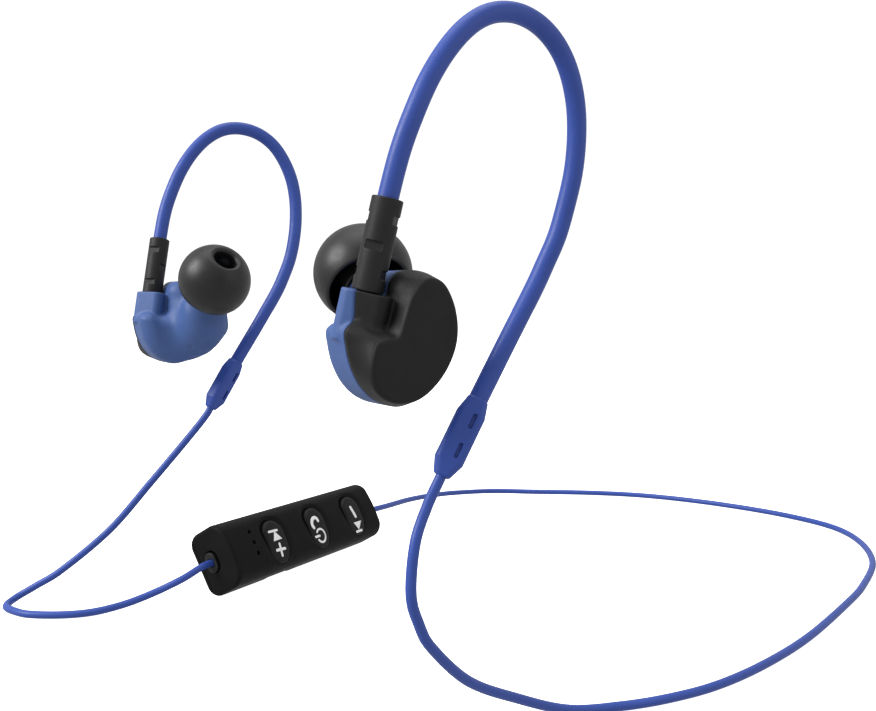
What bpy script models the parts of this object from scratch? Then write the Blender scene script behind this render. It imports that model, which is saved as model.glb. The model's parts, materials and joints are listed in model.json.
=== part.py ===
"""Wireless in-ear earphones: two earpieces on over-ear hooks, joined behind the neck by a cord with a remote.

The origin is midway between the ears, at the height where the hooks' crowns rest on them. +X points to
the back of the head, +Y from the left ear to the right ear, and +Z up. Sizes are in millimetres and
become metres as each mesh is made. The right side is the left side mirrored in the plane Y = 0, apart
from the cords.
"""

import math

import bmesh
import bpy
from mathutils import Matrix, Vector

OBJECT = "neckband_earphones"
MM = 0.001

# Seams and clearances
SEAM = 0.12
GAP = 0.15
RUNNING_GAP = 0.08

# Earpiece: outline in X and Z, depth in Y from the head's middle plane
PARTING_Y = -46.3
BODY_OUTLINE = (
    (-22.4, -36.4), (-22.3, -38.4), (-21.7, -40.7), (-20.5, -42.9), (-18.6, -44.6), (-16.0, -45.4),
    (-13.4, -44.6), (-11.5, -42.8), (-9.7, -40.3), (-8.4, -37.6), (-8.4, -34.9), (-9.3, -32.5),
    (-10.8, -30.6), (-13.1, -29.7), (-15.6, -29.8), (-16.9, -31.2), (-17.1, -33.4), (-17.4, -35.5),
    (-18.7, -36.0), (-20.8, -35.5),
)
OUTLINE_STEPS = 40
BODY_MIDDLE = (-14.4, -37.4)
BODY_REACH = 7.2
OUTER_RINGS = ((-44.0, 0.0), (-46.4, 0.0), (-49.3, 1.1), (-49.95, 1.6), (-50.2, 2.3))
INNER_RINGS = ((-48.5, 0.0), (-43.0, 0.0), (-41.3, 0.4), (-40.2, 1.2), (-39.5, 2.4))
OUTER_CAVITY = ((-43.0, 0.9), (-46.4, 0.9), (-48.9, 1.9), (-49.3, 2.4))
INNER_CAVITY = ((-49.0, 0.9), (-43.0, 0.9), (-41.5, 1.3), (-40.5, 2.2))
CUT_SIZE = 60.0

# Stem: the sleeve's axis, which the earpiece swivels on
STEM_BASE = Vector((-19.1, -45.4, -32.25))
STEM_AXIS = Vector((0.187, -0.122, 0.975)).normalized()
BOSS_TOP = Vector((-18.65, -44.85, -32.2))
BOSS_RADIUS = 2.95
BOSS_LENGTH = 6.0
SLEEVE_LENGTH = 11.0
SLEEVE_RADIUS = 1.85
NECK_RADIUS = 1.25
NECK_LENGTH = 2.5
NECK_BORE_DEPTH = 7.5
LEAD_BORE = 0.75
SLOT_FLOOR = 1.5
SLOT_CUTTER = (1.5, 2.3, 1.0)
SLOT_LEVELS = ((5.4, 0.0), (2.3, 90.0), (8.6, 90.0))
SLOT_SIDE = Vector((-0.66, -0.75, 0.08))

# Nozzle and ear tip
TIP_CENTRE = Vector((-11.8, -30.0, -29.6))
TIP_AXIS = Vector((0.12, 0.75, 0.65)).normalized()
TIP_RADIUS = 6.5
TIP_RIM_RADIUS = 5.6
TIP_WALL = 0.65
STEM_BORE = 2.52
STEM_OUTER = 3.2
SOUND_BORE = 2.05
NOZZLE_RADIUS = 2.42
NOZZLE_BORE = 1.7
NOZZLE_END = 1.2
NOZZLE_EDGE = 0.2
BARREL = (
    (-17.0, 3.4), (-16.0, 4.6), (-13.5, 5.5), (-9.0, 5.3), (-6.6, 4.5), (-5.4, 3.2), (-4.6, 3.0),
    (-3.4, 3.0), (-3.3, NOZZLE_RADIUS),
)
BARREL_HOLLOW = ((-16.2, 2.6), (-15.2, 3.8), (-13.2, 4.5), (-9.0, 4.3), (-7.2, 3.5), (-6.0, NOZZLE_BORE))
VENT_AT = Vector((-14.3, -38.0, -42.1))
VENT_RADIUS = 0.35
VENT_REACH = (-3.0, 4.5)

# Driver
DRIVER_CENTRE = Vector((-13.4, -44.6, -38.0))
DRIVER_RADIUS = 3.2

# Ear hook: centre line from the sleeve, over the ear and down to the joiner
HOOK_RADIUS = 1.25
HOOK_WALL = 0.75
WIRE_RADIUS = 0.35
HOOK_ROUTE = (
    (-18.95, -45.5, -31.5), (-18.0, -46.15, -26.4), (-17.04, -46.75, -21.5), (-15.8, -47.4, -16.2),
    (-14.2, -47.8, -11.8), (-12.2, -48.0, -7.6), (-9.7, -48.1, -3.9), (-6.8, -48.0, -1.0),
    (-3.6, -47.9, 0.8), (0.0, -47.8, 1.3), (3.5, -47.5, 0.5), (6.5, -47.2, -1.5), (8.7, -46.9, -4.5),
    (10.2, -46.4, -8.3), (10.8, -45.9, -12.4), (10.7, -45.4, -16.7), (10.0, -44.8, -20.9),
    (8.9, -44.4, -24.9), (7.3, -44.0, -28.5), (5.6, -43.8, -31.8), (1.7, -43.8, -38.1),
    (-2.9, -44.0, -45.4), (-3.6, -44.0, -46.6),
)
HOOK_STATIONS = 36

# Joiner between hook and cord
JOINER_TOP = Vector((-2.9, -44.0, -45.4))
JOINER_BOTTOM = Vector((-8.4, -44.1, -54.6))
JOINER_WIDE_SIDE = Vector((-0.74, 0.48, 0.44))
JOINER_STATIONS = ((0.0, 1.5, 1.45), (1.7, 1.85, 1.45), (8.6, 1.85, 1.45), (10.7, 1.05, 1.0))
JOINER_SLOT_LEVELS = (3.1, 7.1)
JOINER_SLOT = (0.6, 2.0, 0.5)
JOINER_SOCKET = 2.2

# Cords: centre lines, from the joiner to the remote's end
CORD_RADIUS = 0.7
CORD_SOCKET_RADIUS = 0.85
CORD_SOCKET_DEPTH = 1.5
LEFT_CORD_ROUTE = (
    (-7.8, -44.1, -53.55), (-9.1, -44.1, -55.8), (-10.6, -44.5, -58.0), (-12.9, -45.6, -62.0),
    (-13.7, -46.0, -68.0), (-12.3, -45.5, -72.0), (-10.3, -45.0, -75.3), (-3.6, -43.0, -81.5),
    (5.4, -41.0, -86.3), (14.7, -40.3, -90.1), (23.3, -41.2, -91.15), (31.4, -42.7, -91.15),
    (41.2, -42.8, -91.15),
    (54.2, -40.5, -91.15), (70.7, -35.6, -91.15), (92.4, -26.9, -91.15), (106.3, -20.5, -91.15),
    (123.7, -10.2, -91.15), (137.2, 2.8, -91.15), (144.8, 16.0, -91.15), (146.0, 30.9, -91.15),
    (143.4, 45.9, -91.15), (138.3, 60.4, -91.15), (130.9, 73.3, -91.15), (120.3, 84.0, -91.15),
    (108.7, 92.5, -91.15), (95.6, 97.3, -90.4), (82.4, 96.0, -89.3), (71.0, 90.9, -88.0),
    (59.3, 83.9, -86.8), (47.5, 75.3, -85.8), (40.0, 70.4, -85.25), (36.4, 68.3, -85.15),
    (34.3, 67.11, -85.15),
)
RIGHT_CORD_ROUTE = (
    (-7.8, 44.1, -53.55), (-9.1, 44.1, -55.8), (-12.3, 44.8, -59.9), (-19.6, 47.0, -68.9),
    (-26.7, 50.0, -77.8), (-35.0, 54.0, -85.5), (-39.6, 56.2, -88.6), (-43.2, 57.2, -90.7),
    (-45.2, 54.0, -91.15), (-43.9, 49.3, -91.15), (-41.7, 46.3, -91.15), (-36.8, 43.2, -91.15),
    (-31.7, 42.0, -91.1), (-26.0, 42.2, -90.6), (-20.5, 42.0, -89.2), (-15.6, 40.3, -86.9),
    (-12.0, 40.8, -85.4), (-10.1, 41.87, -85.15), (-8.3, 42.89, -85.15),
)
LEFT_CORD_STATIONS = 56
RIGHT_CORD_STATIONS = 24

# Remote: local X along it, Y across its face and Z out of its face
REMOTE_LENGTH = 51.0
REMOTE_HALF_WIDTH = 6.6
REMOTE_HALF_THICKNESS = 4.55
REMOTE_FACE_BULGE = 0.7
REMOTE_CORNER = 2.7
REMOTE_END_EDGE = 0.45
REMOTE_WALL = 1.1
REMOTE_CENTRE = Vector((13.35, 54.3, -84.7))
REMOTE_AXIS = Vector((0.869, 0.494, 0.0)).normalized()
REMOTE_ROLL = math.radians(30.0)
CORD_OFFSET_Z = -0.9
COVER_SPLIT_Z = -3.25
BUTTONS = (("button_previous", -11.8), ("button_power", 2.3), ("button_next", 16.2))
BUTTON_HALF_WIDTH = 3.0
BUTTON_TOP_Y = 3.8
BUTTON_BOTTOM_Y = -5.5
BUTTON_CLEARANCE = 0.2
BUTTON_PROUD = 0.3
MIC_HOLE_X = -18.45
MIC_HOLE_Y = (2.6, 0.3, -2.0)
MIC_HOLE_RADIUS = 0.45
GROMMET_HALF = (2.1, 1.3)
GROMMET_DEPTH = 1.0
GROMMET_TAIL = (0.3, 2.3)
GROMMET_STEP = 0.25
GROMMET_BORE_DEPTH = 1.9
PASSAGE_DEPTH = 3.0
POCKET_MARGIN = 0.45
BOARD = (46.0, 9.6, 0.7)
BOARD_Z = -0.05
BOARD_TOP = BOARD_Z + BOARD[2] / 2
SEAT_Z = BOARD_TOP + 0.05
SWITCH = (3.0, 3.0, 1.0)
SWITCH_TOP = BOARD_TOP + SWITCH[2] + 0.3
PLUNGER_RADIUS = 0.7
BUTTON_STEM_RADIUS = 1.0
BUTTON_STEM_Z = (SWITCH_TOP + 0.4, 3.0)
BUTTON_SKIRT_Z = 2.6
BUTTON_FLANGE = (7.0, 5.6, 0.6)
BUTTON_FLANGE_Z = 2.9
FACE_CUT_Z = (1.0, 8.0)
BATTERY = (24.0, 8.6, 2.4)
BATTERY_AT = (9.5, 0.0, -1.85)
CHIP = (6.0, 6.0, 0.9)
CHIP_X = 10.15
ANTENNA = (2.2, 6.5, 1.0)
ANTENNA_X = 21.6
MICROPHONE = (3.0, 4.0, 1.0)
SOCKET = (7.5, 5.0, 2.2)
SOCKET_X = -8.0
SOCKET_WALL = 0.3
SOCKET_BACK = 0.5
TONGUE = (3.6, 0.5)
TONGUE_SETBACK = 0.5
SOCKET_Z = -1.65
SOCKET_INSET = 0.2
SOCKET_MOUTH_DEPTH = 4.0
CAVITY_LENGTH = 47.6

FINISHES = {
    "black": ((0.025, 0.025, 0.028, 1.0), 0.55, 0.0),
    "blue": ((0.045, 0.09, 0.36, 1.0), 0.5, 0.0),
    "shell_blue": ((0.11, 0.2, 0.5, 1.0), 0.45, 0.0),
    "silicone": ((0.02, 0.02, 0.02, 1.0), 0.6, 0.0),
    "metal": ((0.6, 0.6, 0.62, 1.0), 0.3, 1.0),
    "board": ((0.02, 0.16, 0.07, 1.0), 0.5, 0.0),
    "cell": ((0.45, 0.47, 0.5, 1.0), 0.4, 0.6),
}


def new_collection(name):
    made = bpy.data.collections.new(name)
    bpy.context.scene.collection.children.link(made)
    return made


def material(name, finish):
    colour, roughness, metallic = FINISHES[finish]
    made = bpy.data.materials.new(name)
    made.use_nodes = True
    shader = made.node_tree.nodes["Principled BSDF"]
    shader.inputs["Base Color"].default_value = colour
    shader.inputs["Roughness"].default_value = roughness
    shader.inputs["Metallic"].default_value = metallic
    return made


def add_object(name, data, finish, matrix=None):
    """Link an object for one node; a None finish makes it a cutter."""
    made = bpy.data.objects.new(name, data)
    if finish is None:
        CUTTERS.objects.link(made)
        made.hide_render = True
        made.display_type = "WIRE"
    else:
        PARTS.objects.link(made)
        data.materials.append(material(name, finish))
    if matrix is not None:
        made.matrix_world = matrix
    return made


def from_bmesh(name, bm, finish, matrix=None):
    bmesh.ops.recalc_face_normals(bm, faces=bm.faces)
    mesh = bpy.data.meshes.new(name)
    bm.to_mesh(mesh)
    bm.free()
    mesh.shade_smooth()
    mesh.set_sharp_from_angle(angle=math.radians(35.0))
    return add_object(name, mesh, finish, matrix)


def boolean(target, tool, operation):
    change = target.modifiers.new(f"{operation.title()} {tool.name}", "BOOLEAN")
    change.operation = operation
    change.solver = "EXACT"
    change.object = tool


def axis_matrix(origin, axis, side):
    """Metres; local Z along axis, local X as near to side as a right angle allows."""
    z = axis.normalized()
    x = (side - z * side.dot(z)).normalized()
    y = z.cross(x)
    rotation = Matrix((x, y, z)).transposed()
    return Matrix.Translation(origin * MM) @ rotation.to_4x4()


def box(name, size, centre, finish, matrix=None, bevel=0.0):
    bm = bmesh.new()
    bmesh.ops.create_cube(bm, size=MM)
    bmesh.ops.scale(bm, vec=Vector(size), verts=bm.verts)
    bmesh.ops.translate(bm, vec=Vector(centre) * MM, verts=bm.verts)
    if bevel:
        bmesh.ops.bevel(bm, geom=bm.edges[:], offset=bevel * MM, segments=2, profile=0.5, affect="EDGES")
    return from_bmesh(name, bm, finish, matrix)


def cylinder(name, radius, low, high, finish, matrix, segments=16):
    bm = bmesh.new()
    size = radius * MM
    depth = (high - low) * MM
    bmesh.ops.create_cone(bm, cap_ends=True, segments=segments, radius1=size, radius2=size, depth=depth)
    bmesh.ops.translate(bm, vec=Vector((0.0, 0.0, (low + high) / 2 * MM)), verts=bm.verts)
    return from_bmesh(name, bm, finish, matrix)


def turned(name, profile, finish, matrix, steps=24, closed=True):
    """Revolve (radius, height) points, listed down the outer side first, about local Z."""
    count = len(profile)
    edges = [(i, i + 1) for i in range(count - 1)]
    if closed:
        edges.append((count - 1, 0))
    mesh = bpy.data.meshes.new(name)
    mesh.from_pydata([(r * MM, 0.0, h * MM) for r, h in profile], edges, [])
    made = add_object(name, mesh, finish, matrix)
    screw = made.modifiers.new("Turn", "SCREW")
    screw.axis = "Z"
    screw.angle = math.tau
    screw.steps = steps
    screw.render_steps = steps
    screw.use_merge_vertices = True
    screw.merge_threshold = 0.000002
    screw.use_smooth_shade = True
    return made


def loft(name, rings, finish, matrix=None):
    """A closed solid through rings of equally many points, with a flat cap at each end."""
    bm = bmesh.new()
    rows = [[bm.verts.new(Vector(point) * MM) for point in ring] for ring in rings]
    count = len(rows[0])
    for row, following in zip(rows, rows[1:]):
        for i in range(count):
            j = (i + 1) % count
            bm.faces.new((row[i], row[j], following[j], following[i]))
    bm.faces.new(rows[0])
    bm.faces.new(rows[-1])
    return from_bmesh(name, bm, finish, matrix)


def circle(radius, level, segments):
    angles = [math.tau * i / segments for i in range(segments)]
    return [(radius * math.cos(angle), radius * math.sin(angle), level) for angle in angles]


def catmull_rom(p0, p1, p2, p3, t):
    return 0.5 * (
        2 * p1 + (p2 - p0) * t + (2 * p0 - 5 * p1 + 4 * p2 - p3) * t**2 + (3 * p1 - p0 - 3 * p2 + p3) * t**3
    )


def smooth_line(route, stations, closed=False):
    """Evenly spaced points of a smooth curve through the route's points."""
    points = [Vector(p) for p in route]
    count = len(points)
    spans = count if closed else count - 1
    dense = []
    for i in range(spans):
        if closed:
            four = [points[(i + k) % count] for k in (-1, 0, 1, 2)]
        else:
            before = points[i - 1] if i else 2 * points[0] - points[1]
            after = points[i + 2] if i + 2 < count else 2 * points[-1] - points[-2]
            four = [before, points[i], points[i + 1], after]
        dense.extend(catmull_rom(*four, step / 24) for step in range(24))
    dense.append(points[0] if closed else points[-1])
    reach = [0.0]
    for a, b in zip(dense, dense[1:]):
        reach.append(reach[-1] + (b - a).length)
    pieces = stations if closed else stations - 1
    line = []
    at = 0
    for i in range(stations):
        wanted = reach[-1] * i / pieces
        while at < len(reach) - 2 and reach[at + 1] < wanted:
            at += 1
        share = (wanted - reach[at]) / (reach[at + 1] - reach[at])
        line.append(dense[at].lerp(dense[at + 1], min(share, 1.0)))
    return line


def tube(name, line, radius, finish, caps=True):
    curve = bpy.data.curves.new(name, "CURVE")
    curve.dimensions = "3D"
    curve.bevel_depth = radius * MM
    curve.bevel_resolution = 2
    curve.use_fill_caps = caps
    spline = curve.splines.new("POLY")
    spline.points.add(len(line) - 1)
    for point, place in zip(spline.points, line):
        point.co = (*(place * MM), 1.0)
    return add_object(name, curve, finish)


def hose(name, line, radius, wall, finish):
    made = tube(name, line, radius, finish, caps=False)
    thickness = made.modifiers.new("Wall", "SOLIDIFY")
    thickness.thickness = wall * MM
    thickness.offset = -1.0
    return made


def obround(half_length, half_width, steps=8):
    """Points of a slot shape, long along Y."""
    points = []
    for end in (1.0, -1.0):
        for i in range(steps + 1):
            angle = math.pi * i / steps + (0.0 if end > 0 else math.pi)
            y = end * (half_length - half_width) + half_width * math.sin(angle)
            points.append((half_width * math.cos(angle), y))
    return points


def body_rings(levels):
    """Rings of the earpiece's outline at each depth, drawn in towards its middle by a distance."""
    middle = Vector((BODY_MIDDLE[0], BODY_MIDDLE[1], 0.0))
    outline = smooth_line([Vector((x, z, 0.0)) for x, z in BODY_OUTLINE], OUTLINE_STEPS, closed=True)
    rings = []
    for y, distance in levels:
        share = 1.0 - distance / BODY_REACH
        drawn = [middle + (point - middle) * share for point in outline]
        rings.append([(point.x, y, point.y) for point in drawn])
    return rings


def parent_keeping_place(child, parent):
    child.parent = parent
    child.matrix_parent_inverse = parent.matrix_world.inverted()


def joint_empty(name, place, children):
    empty = bpy.data.objects.new(name, None)
    empty.empty_display_size = 3 * MM
    PARTS.objects.link(empty)
    empty.matrix_world = Matrix.Translation(place)
    bpy.context.view_layer.update()
    for child in children:
        parent_keeping_place(child, empty)


def mirror_to_right(source):
    """Copy a left-hand node to the right-hand side, with its origin mirrored too."""
    name = source.name.replace("_left", "_right")
    graph = bpy.context.evaluated_depsgraph_get()
    mesh = bpy.data.meshes.new_from_object(source.evaluated_get(graph))
    mesh.name = name
    flip = Matrix.Diagonal((1.0, -1.0, 1.0, 1.0))
    origin = flip @ source.matrix_world.translation
    mesh.transform(Matrix.Translation(-origin) @ flip @ source.matrix_world)
    mesh.flip_normals()
    mesh.materials.clear()
    made = bpy.data.objects.new(name, mesh)
    PARTS.objects.link(made)
    finish = source.data.materials[0].copy()
    finish.name = name
    mesh.materials.append(finish)
    made.location = origin
    return made


def half_space(name, y_limit, side):
    """A cutter that removes everything on one side of the plane Y = y_limit."""
    centre = (-15.0, y_limit + side * CUT_SIZE / 2, -35.0)
    return box(name, (CUT_SIZE, CUT_SIZE, CUT_SIZE), centre, None)


def build_shells():
    stem = axis_matrix(STEM_BASE, STEM_AXIS, SLOT_SIDE)
    boss_frame = axis_matrix(BOSS_TOP, STEM_AXIS, SLOT_SIDE)
    nozzle = axis_matrix(TIP_CENTRE, TIP_AXIS, Vector((1.0, 0.0, 0.0)))
    boss = cylinder("boss_form", BOSS_RADIUS, -BOSS_LENGTH, 0.0, None, boss_frame, 24)
    neck_bore = cylinder("neck_bore", NECK_RADIUS + RUNNING_GAP, -NECK_BORE_DEPTH, 1.0, None, stem, 24)
    outer = loft("outer_shell_left", body_rings(OUTER_RINGS), "black")
    boolean(outer, boss, "UNION")
    boolean(outer, loft("outer_cavity", body_rings(OUTER_CAVITY), None), "DIFFERENCE")
    boolean(outer, neck_bore, "DIFFERENCE")
    boolean(outer, half_space("outer_side_cut", PARTING_Y - SEAM / 2, 1.0), "DIFFERENCE")

    inner = loft("inner_shell_left", body_rings(INNER_RINGS), "shell_blue")
    edge = ((NOZZLE_END - NOZZLE_EDGE, NOZZLE_RADIUS), (NOZZLE_END, NOZZLE_RADIUS - NOZZLE_EDGE))
    rings = [circle(radius, level, 24) for level, radius in (*BARREL, *edge)]
    spout = loft("barrel_form", rings, None, nozzle)
    hollow = (*BARREL_HOLLOW, (NOZZLE_END + 1.0, NOZZLE_BORE))
    bore = loft("barrel_hollow", [circle(radius, level, 16) for level, radius in hollow], None, nozzle)
    vent = axis_matrix(VENT_AT, Vector((0.0, -1.0, 0.0)), Vector((1.0, 0.0, 0.0)))
    boolean(inner, boss, "UNION")
    boolean(inner, spout, "UNION")
    boolean(inner, loft("inner_cavity", body_rings(INNER_CAVITY), None), "DIFFERENCE")
    boolean(inner, bore, "DIFFERENCE")
    boolean(inner, neck_bore, "DIFFERENCE")
    boolean(inner, cylinder("vent_bore", VENT_RADIUS, *VENT_REACH, None, vent, 8), "DIFFERENCE")
    boolean(inner, half_space("inner_side_cut", PARTING_Y + SEAM / 2, -1.0), "DIFFERENCE")
    return [outer, inner]


def build_ear_tip():
    nozzle = axis_matrix(TIP_CENTRE, TIP_AXIS, Vector((1.0, 0.0, 0.0)))
    start = math.asin(SOUND_BORE / TIP_RADIUS)
    stop = math.pi - math.asin(TIP_RIM_RADIUS / TIP_RADIUS)
    steps = 9
    angles = [start + (stop - start) * i / steps for i in range(steps + 1)]
    profile = [(TIP_RADIUS * math.sin(a), TIP_RADIUS * math.cos(a)) for a in angles]
    inside = TIP_RADIUS - TIP_WALL
    first = math.asin((STEM_OUTER + 0.2) / inside)
    angles = [first + (stop - first) * i / (steps - 2) for i in range(steps - 1)]
    profile += [(inside * math.sin(a), inside * math.cos(a)) for a in reversed(angles)]
    shoulder = NOZZLE_END + GAP
    profile += [(STEM_OUTER, 3.6), (STEM_OUTER, -3.0), (STEM_BORE, -3.0), (STEM_BORE, shoulder)]
    profile += [(SOUND_BORE, shoulder)]
    tip = turned("ear_tip_left", profile, "silicone", nozzle, steps=24)
    disc = [(0.0, 0.6), (NOZZLE_BORE - GAP, 0.6), (NOZZLE_BORE - GAP, 0.4), (0.0, 0.4)]
    mesh = turned("nozzle_mesh_left", disc, "metal", nozzle, steps=12, closed=False)
    return tip, mesh


def build_driver():
    frame = axis_matrix(DRIVER_CENTRE, Vector((0.0, 1.0, 0.0)), Vector((1.0, 0.0, 0.0)))
    r = DRIVER_RADIUS
    basket = [(r, 1.2), (r, -0.6), (2.2, -1.0), (2.2, -1.8), (1.9, -1.8), (1.9, -0.7), (r - 0.3, -0.3)]
    basket += [(r - 0.3, 1.2)]
    magnet = [(0.0, -0.3), (1.75, -0.3), (1.75, -1.7), (0.0, -1.7)]
    diaphragm = [(0.0, 0.95), (1.3, 0.75), (1.5, 0.55), (r - 0.45, 0.55), (r - 0.45, 0.3), (1.4, 0.3)]
    diaphragm += [(1.2, 0.5), (0.0, 0.7)]
    return [
        turned("driver_frame_left", basket, "metal", frame, steps=16),
        turned("driver_magnet_left", magnet, "metal", frame, steps=16, closed=False),
        turned("driver_diaphragm_left", diaphragm, "cell", frame, steps=16, closed=False),
    ]


def build_sleeve():
    stem = axis_matrix(STEM_BASE, STEM_AXIS, SLOT_SIDE)
    top = SLEEVE_LENGTH
    r = SLEEVE_RADIUS
    inside = HOOK_RADIUS + 0.1
    profile = [
        (r - 0.15, top), (r, top - 0.15), (r, GAP + 0.15), (r - 0.15, GAP), (NECK_RADIUS, GAP),
        (NECK_RADIUS, -NECK_LENGTH), (LEAD_BORE, -NECK_LENGTH), (LEAD_BORE, 0.4), (inside, 0.4),
        (inside, top),
    ]
    sleeve = turned("strain_relief_left", profile, "black", stem, steps=24)
    for number, (level, turn) in enumerate(SLOT_LEVELS):
        for side in (0.0, 180.0):
            spin = Matrix.Rotation(math.radians(turn + side), 4, "Z")
            name = f"sleeve_slot_{number}_{side:.0f}"
            cutter = box(name, SLOT_CUTTER, (SLOT_FLOOR + 0.75, 0.0, level), None, stem @ spin)
            boolean(sleeve, cutter, "DIFFERENCE")
    return sleeve


def build_hook():
    line = smooth_line(HOOK_ROUTE, HOOK_STATIONS)
    hook = hose("ear_hook_left", line, HOOK_RADIUS, HOOK_WALL, "blue")
    wire = tube("hook_wire_left", line[1:-1], WIRE_RADIUS, "metal")
    return hook, wire


def joiner_ring(level, half_wide, half_thick):
    corner = 0.75 * half_thick
    points = []
    for quarter, (sx, sy) in enumerate(((1, 1), (-1, 1), (-1, -1), (1, -1))):
        for i in range(4):
            angle = math.pi / 2 * (quarter + i / 3)
            x = sx * (half_wide - corner) + corner * math.cos(angle)
            y = sy * (half_thick - corner) + corner * math.sin(angle)
            points.append((x, y, level))
    return points


def build_joiner():
    frame = axis_matrix(JOINER_TOP, JOINER_BOTTOM - JOINER_TOP, JOINER_WIDE_SIDE)
    joiner = loft("cord_joiner_left", [joiner_ring(*station) for station in JOINER_STATIONS], "blue", frame)
    length = JOINER_STATIONS[-1][0]
    hook_socket = cylinder("joiner_hook_socket", HOOK_RADIUS + 0.1, -1.0, JOINER_SOCKET, None, frame, 16)
    cord_socket = cylinder(
        "joiner_cord_socket", CORD_SOCKET_RADIUS, length - CORD_SOCKET_DEPTH, length + 1.0, None, frame, 12
    )
    boolean(joiner, hook_socket, "DIFFERENCE")
    boolean(joiner, cord_socket, "DIFFERENCE")
    width, long, depth = JOINER_SLOT
    face = JOINER_STATIONS[1][2]
    for number, level in enumerate(JOINER_SLOT_LEVELS):
        for side in (1.0, -1.0):
            centre = (0.0, side * face, level)
            slot = box(f"joiner_slot_{number}_{side:.0f}", (width, 2 * depth, long), centre, None, frame)
            boolean(joiner, slot, "DIFFERENCE")
    return joiner


def build_left_side():
    shells = build_shells()
    tip, mesh = build_ear_tip()
    driver = build_driver()
    return {
        "earpiece": shells + driver + [mesh],
        "tip": [tip],
        "fixed": [build_sleeve(), *build_hook(), build_joiner()],
    }


def remote_matrix():
    level_normal = Vector((REMOTE_AXIS.y, -REMOTE_AXIS.x, 0.0))
    up = Vector((0.0, 0.0, 1.0))
    normal = level_normal * math.cos(REMOTE_ROLL) + up * math.sin(REMOTE_ROLL)
    return axis_matrix(REMOTE_CENTRE, normal, REMOTE_AXIS)


def remote_section(distance):
    """The remote's rounded section in Y and Z, moved inward by a distance; its face bulges a little."""
    wide = REMOTE_HALF_WIDTH - distance
    thick = REMOTE_HALF_THICKNESS - distance
    corner = max(REMOTE_CORNER - distance, 0.4)
    points = []
    for quarter, (sy, sz) in enumerate(((1, 1), (-1, 1), (-1, -1), (1, -1))):
        for i in range(5):
            angle = math.pi / 2 * (quarter + i / 4)
            y = sy * (wide - corner) + corner * math.cos(angle)
            z = sz * (thick - corner) + corner * math.sin(angle)
            points.append((y, z))
        if quarter == 0:
            points.extend(((wide - corner) * share, thick) for share in (0.5, 0.0, -0.5))
    return [
        (y, z + REMOTE_FACE_BULGE * (1 - (y / wide) ** 2) * max(z / thick, 0.0)) for y, z in points
    ]


def remote_form(name, distance, length, edge, finish, matrix):
    half = length / 2
    stations = ((-half, edge), (-half + edge, 0.0), (half - edge, 0.0), (half, edge))
    rings = [[(x, y, z) for y, z in remote_section(distance + step)] for x, step in stations]
    return loft(name, rings, finish, matrix)


def grommet_solid(name, end, grow, low, high, finish, matrix):
    """An obround block in the remote's end, between two depths from the end face."""
    half_long, half_wide = GROMMET_HALF
    outline = obround(half_long + grow, half_wide + grow, steps=6)
    half = REMOTE_LENGTH / 2
    rings = [[(end * (half - depth), y, x + CORD_OFFSET_Z) for x, y in outline] for depth in (low, high)]
    return loft(name, rings, finish, matrix)


def build_remote_cases(matrix):
    front = remote_form("remote_front_case", 0.0, REMOTE_LENGTH, REMOTE_END_EDGE, "black", matrix)
    cavity = remote_form("remote_cavity", REMOTE_WALL, CAVITY_LENGTH, 0.2, None, matrix)
    boolean(front, cavity, "DIFFERENCE")
    for name, x in BUTTONS:
        hole = button_prism(f"{name}_hole", x, BUTTON_CLEARANCE, *FACE_CUT_Z, None, matrix)
        boolean(front, hole, "DIFFERENCE")
    for number, y in enumerate(MIC_HOLE_Y):
        place = matrix @ Matrix.Translation(Vector((MIC_HOLE_X, y, 0.0)) * MM)
        hole = cylinder(f"mic_hole_{number}", MIC_HOLE_RADIUS, *FACE_CUT_Z, None, place, 8)
        boolean(front, hole, "DIFFERENCE")
    for side, end in (("left", -1.0), ("right", 1.0)):
        pocket = grommet_solid(f"pocket_{side}", end, POCKET_MARGIN, -1.0, GROMMET_DEPTH, None, matrix)
        passage = grommet_solid(f"passage_{side}", end, GAP - GROMMET_STEP, 0.0, PASSAGE_DEPTH, None, matrix)
        boolean(front, pocket, "DIFFERENCE")
        boolean(front, passage, "DIFFERENCE")
    mouth = (SOCKET[0] + 2 * GAP, SOCKET_MOUTH_DEPTH, SOCKET[2] + 2 * GAP)
    opening = box("socket_opening", mouth, (SOCKET_X, -REMOTE_HALF_WIDTH, SOCKET_Z), None, matrix)
    boolean(front, opening, "DIFFERENCE")
    size = (REMOTE_LENGTH + 10.0, 40.0, 20.0)
    below = box("below_split", size, (0.0, 0.0, COVER_SPLIT_Z - 10.0), None, matrix)
    boolean(front, below, "DIFFERENCE")
    cover = remote_form("remote_back_cover", 0.0, REMOTE_LENGTH, REMOTE_END_EDGE, "black", matrix)
    above = box("above_split", size, (0.0, 0.0, COVER_SPLIT_Z - SEAM + 10.0), None, matrix)
    boolean(cover, above, "DIFFERENCE")


def button_prism(name, x, grow, low, high, finish, matrix):
    half = (BUTTON_TOP_Y - BUTTON_BOTTOM_Y) / 2
    middle = (BUTTON_TOP_Y + BUTTON_BOTTOM_Y) / 2
    outline = obround(half + grow, BUTTON_HALF_WIDTH + grow, steps=7)
    rings = [[(px, py, z) for px, py in outline] for z in (low, high)]
    return loft(name, rings, finish, matrix @ Matrix.Translation(Vector((x, middle, 0.0)) * MM))


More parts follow.
